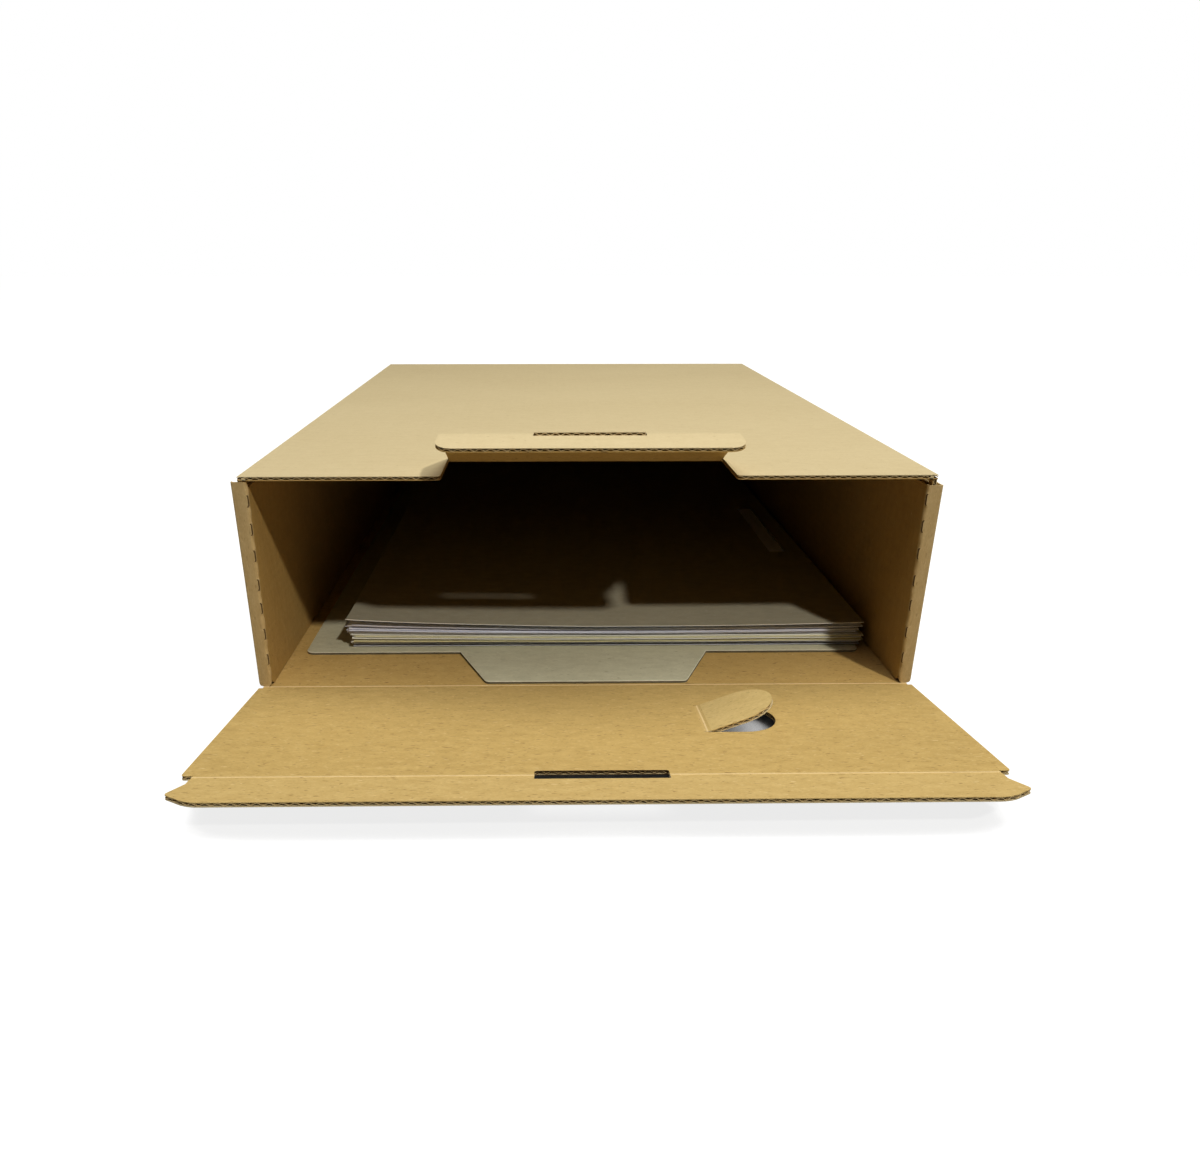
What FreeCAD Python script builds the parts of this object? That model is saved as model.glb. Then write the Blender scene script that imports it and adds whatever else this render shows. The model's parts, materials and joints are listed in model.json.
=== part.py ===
"""Front-opening archival box of thin corrugated board, with the documents it holds.

Frame: origin at the centre of the underside of the bottom panel, +Z up, +Y from the
open front to the back wall, +X to the right of somebody who looks in at the front.
"""
import FreeCAD
import Part
import math
import os

V = FreeCAD.Vector

# Driving dimensions, in millimetres and degrees
WIDTH = 246.0            # outside of the two outer side walls
DEPTH = 332.0            # front crease to back wall
HEIGHT = 82.0            # underside of the bottom to top of the lid
BOARD = 1.5              # corrugated board
FIT = 0.1                # clearance between board layers that slide past each other

LID_DROP = 0.4           # outer wall's top below the lid's underside
FRONT_RELIEF = 22.0      # length over which the wall tops are lowered for the ears
RELIEF_DROP = 2.4        # how far below the lid's underside they are lowered

SIDE_FLAP_DEPTH = 33.0   # lid side flap, down inside the wall
SIDE_FLAP_LEAN = 1.8     # how far its front edge leans back, so that the lid can swing
EAR_SLOT = (3.9, 19.0)   # slot beside the lid crease, from the front

TUCK_TAB = (25.0, 40.0)  # back corner tab: length along the wall, height

RECESS_WIDTH = 103.0     # notch in the lid's front edge
RECESS_DEPTH = 30.0
RECESS_RADIUS = 2.0
TONGUE_LENGTH = 32.2
TONGUE_GAP = 0.3         # tongue to recess, each side
TONGUE_BASE_RADIUS = 3.0   # clears the recess's own rounded corners
TONGUE_RAISED = 27.0
TONGUE_LIP = 13.8
TONGUE_LIP_BENT = 33.0
TONGUE_LIP_RADIUS = 6.0
TONGUE_SLOT = (38.5, 1.2)  # length, reach each side of the crease

FLAP_LENGTH = 76.8       # bottom crease to lip crease
FLAP_INSET = 0.2         # flap's side edge inside the wall's outer face
FLAP_RAISED = 6.7
LIP_LENGTH = 15.6
LIP_NECK = 119.4         # half width where the lip passes the lid's side flaps
LIP_NECK_LENGTH = 4.0
EAR_REACH = 123.2        # half width at the ears' tips
EAR_AT = 10.5            # tips, from the lip crease
LIP_END = 114.5          # half width at the free edge
LIP_SLOT = (40.0, 1.6)   # length, reach each side of the crease

FINGER_HINGE_X = 38.0    # crease of the finger tab, left of its round end
FINGER_FROM = 21.6       # nearest edge from the bottom crease
FINGER_WIDTH = 23.4
FINGER_LENGTH = 24.6
FINGER_GAP = 0.3
FINGER_RAISED = 20.0

GREYBOARD = 1.2          # pull board
PULL_HALF_WIDTH = 112.5
PULL_FRONT = 28.5        # front edge of the board from the box's front
PULL_BACK = 329.0
PULL_TAB_FRONT = 1.3
PULL_TAB_HALF = (38.0, 50.0)   # half widths at the tab's front and base
PULL_CORNER = 3.0

PAPER_SIZE = (210.0, 297.0)    # A4 documents
PAPER_RIGHT = 114.0            # right edge of the stack
PAPER_FRONT = 33.0
COVER_SHEET = 0.6
COVER_SLOT = (8.0, 82.0)       # width, length
COVER_SLOT_AT = (101.0, 123.0)  # its centre line, and its front end from the box's front

half = WIDTH / 2
front = -DEPTH / 2
back = DEPTH / 2
lid_under = HEIGHT - BOARD
outer_inside = half - BOARD                    # inner face of the outer wall
side_flap_out = outer_inside - FIT             # outer face of the lid's side flap
side_flap_in = side_flap_out - BOARD
inner_wall_out = side_flap_in - FIT
inner_wall_in = inner_wall_out - BOARD
back_inside = back - BOARD
relief_top = lid_under - RELIEF_DROP
outer_top = lid_under - LID_DROP
inner_top = lid_under - FIT

os.makedirs("parts", exist_ok=True)


def block(x, y, z):
    """A box between pairs of limits along each axis."""
    corner = V(x[0], y[0], z[0])
    return Part.makeBox(x[1] - x[0], y[1] - y[0], z[1] - z[0], corner)


def plate(points, thickness, rounded=()):
    """A flat plate on an outline; rounded gives {corner number: radius}."""
    radii = dict(rounded)
    edges = []
    count = len(points)
    starts, ends, arcs = [], [], []
    for i, at in enumerate(points):
        radius = radii.get(i)
        if radius is None:
            starts.append(at)
            ends.append(at)
            arcs.append(None)
            continue
        to_last = (points[i - 1] - at).normalize()
        to_next = (points[(i + 1) % count] - at).normalize()
        half_angle = to_last.getAngle(to_next) / 2
        reach = radius / math.tan(half_angle)
        middle = (to_last + to_next).normalize() * (radius / math.sin(half_angle) - radius)
        starts.append(at + to_last * reach)
        ends.append(at + to_next * reach)
        arcs.append(at + middle)
    for i in range(count):
        if arcs[i] is not None:
            edges.append(Part.Arc(starts[i], arcs[i], ends[i]).toShape())
        edges.append(Part.LineSegment(ends[i], starts[(i + 1) % count]).toShape())
    return Part.Face(Part.Wire(edges)).extrude(thickness)


def mirrored(points):
    """Right half of an outline, from the centre outwards, joined to its mirror image."""
    left = [V(-p.x, p.y, p.z) for p in reversed(points)]
    return points + left


def flat(pairs, z):
    """Outline points (half width, distance in front of the front crease) at height z."""
    return [V(x, front - s, z) for x, s in pairs]


def turned(shape, at, axis, angle):
    """A copy of the shape, turned about a crease."""
    copy = shape.copy()
    copy.rotate(at, axis, angle)
    return copy


def save(name, shape):
    """One closed solid, as its own file."""
    solid = shape.removeSplitter()
    if solid.ShapeType != "Solid":
        solid = solid.Solids[0]
    solid.exportStep(f"parts/{name}.step")


def side(shape, sign):
    """The right-hand piece for sign +1, its mirror image for sign -1."""
    return shape if sign > 0 else shape.mirror(V(0, 0, 0), V(1, 0, 0))


# Tray: bottom, back wall, and double side walls rolled over at the front

def bottom_panel():
    return block((-outer_inside, outer_inside), (front, back), (0, BOARD))


def back_wall():
    return block((-outer_inside, outer_inside), (back_inside, back), (BOARD, lid_under))


def wall_outline(x, near, far, low, top):
    """A side wall from the front strip to the back, its top lowered near the front."""
    step = front + FRONT_RELIEF
    pairs = [(near, low), (far, low), (far, top), (step, top), (step, relief_top), (near, relief_top)]
    return [V(x, y, z) for y, z in pairs]


def outer_wall():
    points = wall_outline(outer_inside, front + BOARD, back, 0, outer_top)
    return plate(points, V(BOARD, 0, 0))


def inner_wall():
    points = wall_outline(inner_wall_in, front + BOARD, back_inside - FIT, BOARD, inner_top)
    return plate(points, V(BOARD, 0, 0))


def rollover_strip():
    depth = (front, front + BOARD)
    upper = block((inner_wall_in, half), depth, (BOARD, relief_top))
    foot = block((outer_inside, half), depth, (0, BOARD))
    return upper.fuse(foot)


def back_tuck_tab():
    length, height = TUCK_TAB
    low = BOARD + 1.5
    far = back_inside - FIT
    slope = 4.0
    corners = [(far, low), (far, low + height), (far - length, low + height - slope),
               (far - length, low + slope)]
    points = [V(side_flap_in, y, z) for y, z in corners]
    return plate(points, V(BOARD, 0, 0), {2: 3.0, 3: 3.0})


# Lid: panel, side flaps, tongue

def lid_panel():
    inner = RECESS_WIDTH / 2
    pairs = [(inner, 0), (side_flap_out, 0), (side_flap_out, -DEPTH)]
    right = flat(pairs, lid_under)
    bottom_right = V(inner, front + RECESS_DEPTH, lid_under)
    points = mirrored([bottom_right] + right)
    last = len(points) - 1
    return plate(points, V(0, 0, BOARD), {0: RECESS_RADIUS, last: RECESS_RADIUS})


def lid_side_flap():
    low = lid_under - SIDE_FLAP_DEPTH
    near, far = EAR_SLOT
    bit_low = relief_top + FIT
    neck = BOARD + 0.3
    corners = [(0, lid_under), (0, bit_low), (neck, bit_low), (neck + SIDE_FLAP_LEAN, low),
               (DEPTH - 8.0, low), (DEPTH - BOARD - FIT, lid_under), (far, lid_under),
               (far, bit_low), (near, bit_low), (near, lid_under)]
    points = [V(side_flap_in, front + y, z) for y, z in corners]
    return plate(points, V(BOARD, 0, 0), {3: 5.0, 4: 5.0})


tongue_half = RECESS_WIDTH / 2 - TONGUE_GAP
tongue_back = front + RECESS_DEPTH
tongue_reach = TONGUE_LENGTH - RECESS_DEPTH     # how far the flat tongue passes the front crease
tongue_axis = V(0, tongue_back, HEIGHT)
tongue_lip_axis = V(0, front - tongue_reach, lid_under)


def slot_notch(size, at):
    """Corners of half of a crease slot, from its inner end to the crease."""
    length, reach = size
    return [(length / 2, at + reach), (length / 2, at)]


def closing_tongue():
    slot_half, reach = TONGUE_SLOT
    slot_half /= 2
    pairs = [(slot_half, tongue_reach - reach), (slot_half, tongue_reach),
             (tongue_half, tongue_reach), (tongue_half, -RECESS_DEPTH)]
    points = mirrored(flat(pairs, lid_under))
    shape = plate(points, V(0, 0, BOARD), {3: TONGUE_BASE_RADIUS, 4: TONGUE_BASE_RADIUS})
    return turned(shape, tongue_axis, V(1, 0, 0), -TONGUE_RAISED)


def tongue_lip():
    slot_half, reach = TONGUE_SLOT
    slot_half /= 2
    end = tongue_reach + TONGUE_LIP
    pairs = [(tongue_half, end), (tongue_half, tongue_reach), (slot_half, tongue_reach),
             (slot_half, tongue_reach + reach)]
    right = flat(pairs, lid_under)
    points = mirrored(right)
    shape = plate(points, V(0, 0, BOARD), {0: TONGUE_LIP_RADIUS, len(points) - 1: TONGUE_LIP_RADIUS})
    bent = turned(shape, tongue_lip_axis, V(1, 0, 0), TONGUE_LIP_BENT)
    return turned(bent, tongue_axis, V(1, 0, 0), -TONGUE_RAISED)


# Drop front: flap, lip with ears, finger tab

flap_axis = V(0, front, BOARD)


def raised(shape):
    """A piece of the drop front, from lying flat to its resting angle."""
    return turned(shape, flap_axis, V(1, 0, 0), -FLAP_RAISED)


def finger_outline(grow):
    """The finger tab's D outline, widened by grow on the cut sides."""
    radius = FINGER_WIDTH / 2 + grow
    middle = FINGER_FROM + FINGER_WIDTH / 2
    centre = FINGER_HINGE_X + FINGER_LENGTH - FINGER_WIDTH / 2
    near = V(FINGER_HINGE_X, front - middle + radius, 0)
    far = V(FINGER_HINGE_X, front - middle - radius, 0)
    turn_near = V(centre, near.y, 0)
    turn_far = V(centre, far.y, 0)
    tip = V(centre + radius, front - middle, 0)
    edges = [Part.LineSegment(near, turn_near).toShape(), Part.Arc(turn_near, tip, turn_far).toShape(),
             Part.LineSegment(turn_far, far).toShape(), Part.LineSegment(far, near).toShape()]
    return Part.Face(Part.Wire(edges)).extrude(V(0, 0, BOARD))


def front_flap():
    edge = half - FLAP_INSET
    slot_half, reach = LIP_SLOT
    slot_half /= 2
    shoulder = edge - LIP_NECK
    pairs = [(slot_half, FLAP_LENGTH - reach), (slot_half, FLAP_LENGTH), (LIP_NECK, FLAP_LENGTH),
             (edge, FLAP_LENGTH - shoulder / 2), (edge, 0)]
    shape = plate(mirrored(flat(pairs, 0)), V(0, 0, BOARD))
    return raised(shape.cut(finger_outline(FINGER_GAP)))


def front_flap_lip():
    slot_half, reach = LIP_SLOT
    slot_half /= 2
    end = FLAP_LENGTH + LIP_LENGTH
    pairs = [(LIP_END, end), (EAR_REACH, FLAP_LENGTH + EAR_AT), (LIP_NECK, FLAP_LENGTH + LIP_NECK_LENGTH),
             (LIP_NECK, FLAP_LENGTH), (slot_half, FLAP_LENGTH), (slot_half, FLAP_LENGTH + reach)]
    points = mirrored(flat(pairs, 0))
    return raised(plate(points, V(0, 0, BOARD), {1: 1.0, len(points) - 2: 1.0}))


def finger_pull_tab():
    crease = V(FINGER_HINGE_X, 0, BOARD)
    lifted = turned(finger_outline(0), crease, V(0, 1, 0), -FINGER_RAISED)
    return raised(lifted)


# Contents: pull board and the documents on it

def pull_board():
    tab_front, tab_base = PULL_TAB_HALF
    pairs = [(tab_front, -PULL_TAB_FRONT), (tab_base, -PULL_FRONT), (PULL_HALF_WIDTH, -PULL_FRONT),
             (PULL_HALF_WIDTH, -PULL_BACK)]
    points = mirrored(flat(pairs, BOARD))
    corners = {number: PULL_CORNER for number in (2, 3, 4, 5)}
    return plate(points, V(0, 0, GREYBOARD), corners)


# Each bundle: thickness, then how far it sticks out on the left and at the front
BUNDLES = {
    "document_bundle_lower": (2.5, -1.5, 0.0),
    "document_bundle_middle": (2.8, -1.2, 1.2),
    "document_bundle_upper": (3.1, 0.6, 0.4),
    "document_bundle_top": (2.4, -0.8, 1.6),
}


def paper(low, thickness, left_out, front_out):
    width, length = PAPER_SIZE
    x = (PAPER_RIGHT - width - left_out, PAPER_RIGHT - left_out)
    y = (front + PAPER_FRONT - front_out, front + PAPER_FRONT - front_out + length)
    return block(x, y, (low, low + thickness))


def folder_cover_sheet(low):
    sheet = paper(low, COVER_SHEET, 0.0, 1.8)
    width, length = COVER_SLOT
    x, near = COVER_SLOT_AT
    slot = block((x - width / 2, x + width / 2), (front + near, front + near + length),
                 (low - 1, low + COVER_SHEET + 1))
    return sheet.cut(slot)


save("bottom_panel", bottom_panel())
save("back_wall", back_wall())
paired = {
    "outer_wall": outer_wall,
    "rollover_strip": rollover_strip,
    "inner_wall": inner_wall,
    "back_tuck_tab": back_tuck_tab,
}
for name, make in paired.items():
    for word, sign in (("left", -1), ("right", 1)):
        save(f"{word}_{name}", side(make(), sign))
save("lid_panel", lid_panel())
for word, sign in (("left", -1), ("right", 1)):
    save(f"lid_{word}_side_flap", side(lid_side_flap(), sign))
save("closing_tongue", closing_tongue())
save("tongue_lip", tongue_lip())
save("front_flap", front_flap())
save("front_flap_lip", front_flap_lip())
save("finger_pull_tab", finger_pull_tab())
save("pull_board", pull_board())
level = BOARD + GREYBOARD
for name, (thickness, left_out, front_out) in BUNDLES.items():
    save(name, paper(level, thickness, left_out, front_out))
    level += thickness
save("folder_cover_sheet", folder_cover_sheet(level))
print(f"contents reach {level + COVER_SHEET:.2f} mm above the table")
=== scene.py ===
import json
import math
import random

import bpy
from mathutils import Matrix, Vector


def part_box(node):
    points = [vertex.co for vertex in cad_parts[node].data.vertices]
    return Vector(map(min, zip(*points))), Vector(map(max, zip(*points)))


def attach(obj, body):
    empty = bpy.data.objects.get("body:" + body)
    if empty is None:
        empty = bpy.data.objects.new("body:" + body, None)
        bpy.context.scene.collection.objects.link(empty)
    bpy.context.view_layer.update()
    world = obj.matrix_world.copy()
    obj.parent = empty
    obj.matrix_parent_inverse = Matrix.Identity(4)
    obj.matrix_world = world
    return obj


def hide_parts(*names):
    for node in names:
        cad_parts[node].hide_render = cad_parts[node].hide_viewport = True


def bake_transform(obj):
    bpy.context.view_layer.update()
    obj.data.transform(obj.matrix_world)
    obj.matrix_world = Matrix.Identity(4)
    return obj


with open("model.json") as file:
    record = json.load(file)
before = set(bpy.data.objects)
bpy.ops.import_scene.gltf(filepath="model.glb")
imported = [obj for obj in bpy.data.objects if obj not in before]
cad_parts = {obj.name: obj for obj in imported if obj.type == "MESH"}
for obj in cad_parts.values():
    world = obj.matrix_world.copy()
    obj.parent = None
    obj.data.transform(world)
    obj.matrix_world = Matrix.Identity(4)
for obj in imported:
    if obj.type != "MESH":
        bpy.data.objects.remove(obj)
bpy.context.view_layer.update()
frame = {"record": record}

bottomLow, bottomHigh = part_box("bottom_panel")
lidLow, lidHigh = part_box("lid_panel")
pullLow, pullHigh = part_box("pull_board")
coverLow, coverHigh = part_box("folder_cover_sheet")
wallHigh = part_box("right_outer_wall")[1]
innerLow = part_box("right_inner_wall")[0]
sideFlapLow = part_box("lid_right_side_flap")[0]

boxFront = bottomLow[1]
boxBack = bottomHigh[1]
boardThick = bottomHigh[2] - bottomLow[2]
joints = {joint["name"]: joint for joint in frame["record"]["behaviour"]["joints"]}


def hingePoint(name):
    return Vector(joints[name]["pos_m"])


def hingeTop(name):  # the joint's upper limit, in radians
    return math.radians(joints[name]["range_deg"][1])


flapCrease = hingePoint("front_flap_hinge")
lipCrease = hingePoint("front_lip_hinge")
tongueCrease = hingePoint("tongue_hinge")
tongueLipCrease = hingePoint("tongue_lip_hinge")
flapRaised = math.pi / 2 - hingeTop("front_flap_hinge")
tongueRaised = hingeTop("tongue_hinge")
tongueLipBent = math.pi / 2 - hingeTop("tongue_lip_hinge")
fingerRaised = hingeTop("finger_tab_hinge")
flapLength = (lipCrease - flapCrease).length
creaseSpread = (tongueLipCrease - tongueCrease).length
tongueLength = math.sqrt(creaseSpread ** 2 - boardThick ** 2)  # the two creases are on opposite faces

board = {
    "liner": 0.00027,  # each paper liner
    "medium": 0.00025,  # the fluted paper between them
    "pitch": 0.00357,  # one flute
    "steps": 8,  # columns in one flute
    "press": 0.985,  # how far the flutes reach towards the liners
    "recess": 0.00008,  # the flutes end this far inside the cut edge
    "creaseReach": 0.0012,  # half width of a pressed crease
    "foldInside": 0.0002,  # inner radius of a corner that stays folded
}


def clearSelection():
    if bpy.context.object and bpy.context.object.mode != "OBJECT":
        bpy.ops.object.mode_set(mode="OBJECT")
    bpy.ops.object.select_all(action="DESELECT")


def makeActive(piece):
    clearSelection()
    piece.select_set(True)
    bpy.context.view_layer.objects.active = piece


def applyModifier(piece, kind, **values):
    makeActive(piece)
    modifier = piece.modifiers.new(kind.title(), kind)
    for key, value in values.items():
        setattr(modifier, key, value)
    bpy.ops.object.modifier_apply(modifier=modifier.name)


def joinPieces(name, parts):
    clearSelection()
    for part in parts:
        part.select_set(True)
    bpy.context.view_layer.objects.active = parts[0]
    if len(parts) > 1:
        bpy.ops.object.join()
    parts[0].name = name
    parts[0].data.name = name
    return parts[0]


def moveMesh(piece, matrix):
    piece.data.transform(matrix)
    piece.data.update()
    return piece


def turnAbout(point, axis, angle):
    there = Matrix.Translation(point)
    return there @ Matrix.Rotation(angle, 4, axis) @ there.inverted()


def setPapers(piece, papers):
    piece.data.materials.clear()
    for paper in papers:
        piece.data.materials.append(paper)


def editAll(piece):
    makeActive(piece)
    bpy.ops.object.mode_set(mode="EDIT")
    bpy.ops.mesh.select_all(action="SELECT")


def pointOutwards(piece):
    editAll(piece)
    bpy.ops.mesh.normals_make_consistent(inside=False)
    bpy.ops.object.mode_set(mode="OBJECT")


def keepSheetMap(piece):  # a joined piece must have one UV map only
    for other in [spare for spare in piece.data.uv_layers if spare.name != "sheet"]:
        piece.data.uv_layers.remove(other)


def sheetMap(piece):  # a UV map in metres, laid out as the flat sheet
    layer = piece.data.uv_layers.get("sheet") or piece.data.uv_layers.new(name="sheet")
    for corner in piece.data.loops:
        place = piece.data.vertices[corner.vertex_index].co
        layer.data[corner.index].uv = (place.x, place.y + place.z * 0.5)
    keepSheetMap(piece)


def roundCorner(piece, corner, radius, segments=6):
    makeActive(piece)
    bpy.ops.object.mode_set(mode="EDIT")
    bpy.ops.mesh.select_all(action="DESELECT")
    bpy.ops.object.mode_set(mode="OBJECT")
    for vertex in piece.data.vertices:
        vertex.select = (vertex.co.xy - Vector(corner)).length < 1e-6
    bpy.ops.object.mode_set(mode="EDIT")
    bpy.ops.mesh.select_mode(type="VERT")
    bpy.ops.mesh.bevel(offset=radius, segments=segments, affect="VERTICES", profile=0.5)
    bpy.ops.object.mode_set(mode="OBJECT")


def outlineFace(name, corners, rounds, height):
    clearSelection()
    bpy.ops.mesh.primitive_circle_add(vertices=len(corners), radius=1, fill_type="NGON")
    piece = bpy.context.object
    piece.name = name
    for vertex, (x, y) in zip(piece.data.vertices, corners):
        vertex.co = (x, y, height)
    piece.data.update()
    pointOutwards(piece)
    if piece.data.polygons[0].normal.z < 0:
        piece.data.flip_normals()
    for number, radius in rounds.items():
        roundCorner(piece, corners[number], radius)
    return piece


def outlineLoop(piece):
    return [tuple(piece.data.vertices[number].co.xy) for number in piece.data.polygons[0].vertices]


def slab(name, corners, top, depth, rounds=None, material=None, cutters=()):
    piece = outlineFace(name, corners, rounds or {}, top)
    applyModifier(piece, "SOLIDIFY", thickness=depth, offset=-1)
    for cutter in cutters:
        applyModifier(piece, "BOOLEAN", operation="DIFFERENCE", object=cutter, solver="EXACT")
    if material:
        setPapers(piece, [material])
    return piece


def crossings(loops, x):
    found = []
    for loop in loops:
        for (x1, y1), (x2, y2) in zip(loop, loop[1:] + loop[:1]):
            if (x1 > x) != (x2 > x):
                found.append(y1 + (x - x1) * (y2 - y1) / (x2 - x1))
    found.sort()
    return list(zip(found[::2], found[1::2]))


def fluteRuns(loops):  # stretches of neighbouring columns that reach equally far along the flutes
    step = board["pitch"] / board["steps"]
    xs = [x for x, y in loops[0]]
    first = math.ceil((min(xs) + 1e-5) / step)
    last = math.floor((max(xs) - 1e-5) / step)
    runs, growing = [], []
    for number in range(first, last + 1):
        x = number * step
        spans = crossings(loops, x)
        going = []
        for span in spans:
            match = None
            for run in growing:
                low, high = run[-1][1:]
                if abs(low - span[0]) < 0.003 and abs(high - span[1]) < 0.003:
                    match = run
            if match is None:
                match = []
                runs.append(match)
            match.append((x, span[0], span[1]))
            going.append(match)
        growing = going
    return [run for run in runs if len(run) > 2]


def fluteCore(loops, low, high, material):
    swing = (high - low - board["medium"]) / 2 * board["press"]
    middle = (high + low) / 2
    parts = []
    for run in fluteRuns(loops):
        count = len(run)
        clearSelection()
        bpy.ops.mesh.primitive_grid_add(x_subdivisions=count - 1, y_subdivisions=1, size=1)
        part = bpy.context.object
        for vertex in part.data.vertices:
            x, near, far = run[round((vertex.co.x + 0.5) * (count - 1))]
            y = near + board["recess"] if vertex.co.y < 0 else far - board["recess"]
            vertex.co = (x, y, middle + swing * math.sin(2 * math.pi * x / board["pitch"]))
        applyModifier(part, "SOLIDIFY", thickness=board["medium"], offset=0)
        setPapers(part, [material])
        parts.append(part)
    return parts


def cutAcross(piece, places, axis=1):  # extra edge rows, so that the sheet can bend
    for at in places:
        editAll(piece)
        normal = (0, 1, 0) if axis else (1, 0, 0)
        spot = (0, at, 0) if axis else (at, 0, 0)
        bpy.ops.mesh.bisect(plane_co=spot, plane_no=normal)
        bpy.ops.object.mode_set(mode="OBJECT")


def boardPanel(name, outline, place, rounds=None, holes=(), cutsAcross=(), cutsAlong=(), outer=None,
               inner=None):
    liner = board["liner"]
    outer, inner = outer or kraftOuter, inner or kraftInner
    cutters = [slab("cutter", hole, 0.01, 0.02) for hole in holes]
    faces = []
    for top, paper in ((liner, outer), (boardThick, inner)):
        faces.append(slab(name, outline, top, liner, rounds, paper, cutters))
    guide = outlineFace("guide", outline, rounds or {}, 0)
    loops = [outlineLoop(guide)] + [list(hole) for hole in holes]
    for spare in cutters + [guide]:
        bpy.data.objects.remove(spare)
    core = fluteCore(loops, liner * 0.95, boardThick - liner * 0.95, kraftMedium)
    for part in faces + core:
        cutAcross(part, cutsAcross)
        sheetMap(part)
    for part in faces:
        cutAcross(part, cutsAlong, 0)
    piece = joinPieces(name, faces + core)
    makeActive(piece)
    bpy.ops.object.shade_flat()
    return moveMesh(piece, place)


def placeMatrix(origin, along, across):
    up = along.cross(across)
    matrix = Matrix((along, across, up)).transposed().to_4x4()
    return Matrix.Translation(origin) @ matrix


def arcPoints(centre, radius, start, end, count):
    points = []
    for number in range(count + 1):
        angle = math.radians(start + (end - start) * number / count)
        points.append((centre[0] + radius * math.cos(angle), centre[1] + radius * math.sin(angle)))
    return points


def foldArc(name, corner, axis, first, length, angle, paper):  # the outer paper round a fixed corner
    inside = board["foldInside"]
    clearSelection()
    bpy.ops.mesh.primitive_plane_add(size=1)
    piece = bpy.context.object
    spots = [(inside, 0), (boardThick, 0), (inside, 1), (boardThick, 1)]
    for vertex, (away, along) in zip(piece.data.vertices, spots):
        vertex.co = corner + first * away + axis * (along * length)
    editAll(piece)
    bpy.ops.mesh.spin(steps=6, angle=angle, center=corner, axis=axis)
    bpy.ops.mesh.select_all(action="SELECT")
    bpy.ops.mesh.remove_doubles(threshold=0.000001)
    bpy.ops.mesh.normals_make_consistent(inside=False)
    bpy.ops.object.mode_set(mode="OBJECT")
    layer = piece.data.uv_layers.get("sheet") or piece.data.uv_layers.new(name="sheet")
    for loop in piece.data.loops:
        place = piece.data.vertices[loop.vertex_index].co
        layer.data[loop.index].uv = (place.dot(axis), (place - corner).length + place.z)
    keepSheetMap(piece)
    bpy.ops.object.shade_smooth_by_angle(angle=math.radians(40))
    piece.name = name
    setPapers(piece, [paper])
    return piece


def gridPiece(name, columns, rows, place, depth, papers, marked=None):  # a bending sheet, as a shell
    clearSelection()
    bpy.ops.mesh.primitive_grid_add(x_subdivisions=columns, y_subdivisions=rows, size=1)
    piece = bpy.context.object
    piece.name = name
    layer = piece.data.uv_layers.new(name="sheet")
    flat = []
    for vertex in piece.data.vertices:
        u, v = vertex.co.x + 0.5, vertex.co.y + 0.5
        spot, sheet = place(u, v)
        flat.append(sheet)
        vertex.co = spot
    for loop in piece.data.loops:
        layer.data[loop.index].uv = flat[loop.vertex_index]
    keepSheetMap(piece)
    setPapers(piece, papers)
    # marked faces take the second paper; on the rolled edge that paper is the painted slit shade
    for face in piece.data.polygons if marked else ():
        corners = [flat[number] for number in face.vertices]
        middle = [sum(corner[axis] for corner in corners) / len(corners) for axis in (0, 1)]
        face.material_index = 1 if marked(*middle) else 0
    last = len(papers) - 1
    applyModifier(piece, "SOLIDIFY", thickness=depth, offset=-1, material_offset=last,
                  material_offset_rim=last, use_even_offset=False)
    makeActive(piece)
    bpy.ops.object.shade_smooth_by_angle(angle=math.radians(35))
    return piece


def finishPiece(piece, body, slotName, *nodes):
    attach(piece, body)
    if nodes:
        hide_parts(*nodes)
    return piece


def addNode(tree, kind, values=None, **settings):
    node = tree.nodes.new(kind)
    for key, value in settings.items():
        setattr(node, key, value)
    for key, value in (values or {}).items():
        node.inputs[key].default_value = value
    return node


def newGroup(name, inputs, outputs):
    tree = bpy.data.node_groups.new(name, "ShaderNodeTree")
    for label, kind, value in inputs:
        made = tree.interface.new_socket(name=label, in_out="INPUT", socket_type=kind)
        if value is not None:
            made.default_value = value
    for label, kind in outputs:
        tree.interface.new_socket(name=label, in_out="OUTPUT", socket_type=kind)
    return tree, tree.nodes.new("NodeGroupInput"), tree.nodes.new("NodeGroupOutput")


def mathNode(tree, operation, first, second=0.0):
    node = addNode(tree, "ShaderNodeMath", operation=operation)
    for number, value in enumerate((first, second)):
        if isinstance(value, (int, float)):
            node.inputs[number].default_value = value
        else:
            tree.links.new(value, node.inputs[number])
    return node.outputs[0]


def stretched(tree, vector, scale, turn=0.0):
    node = addNode(tree, "ShaderNodeMapping", {"Rotation": (0, 0, turn), "Scale": scale})
    tree.links.new(vector, node.inputs["Vector"])
    return node.outputs[0]


def noiseValue(tree, vector, scale, detail=3.0, rough=0.55, distort=0.0):
    node = addNode(tree, "ShaderNodeTexNoise",
                   {"Scale": scale, "Detail": detail, "Roughness": rough, "Distortion": distort})
    tree.links.new(vector, node.inputs["Vector"])
    return node.outputs["Fac"]


def mapValue(tree, value, low, high, toLow=0.0, toHigh=1.0):
    node = addNode(tree, "ShaderNodeMapRange", {"From Min": low, "From Max": high,
                                                "To Min": toLow, "To Max": toHigh})
    tree.links.new(value, node.inputs["Value"])
    return node.outputs["Result"]


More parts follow.
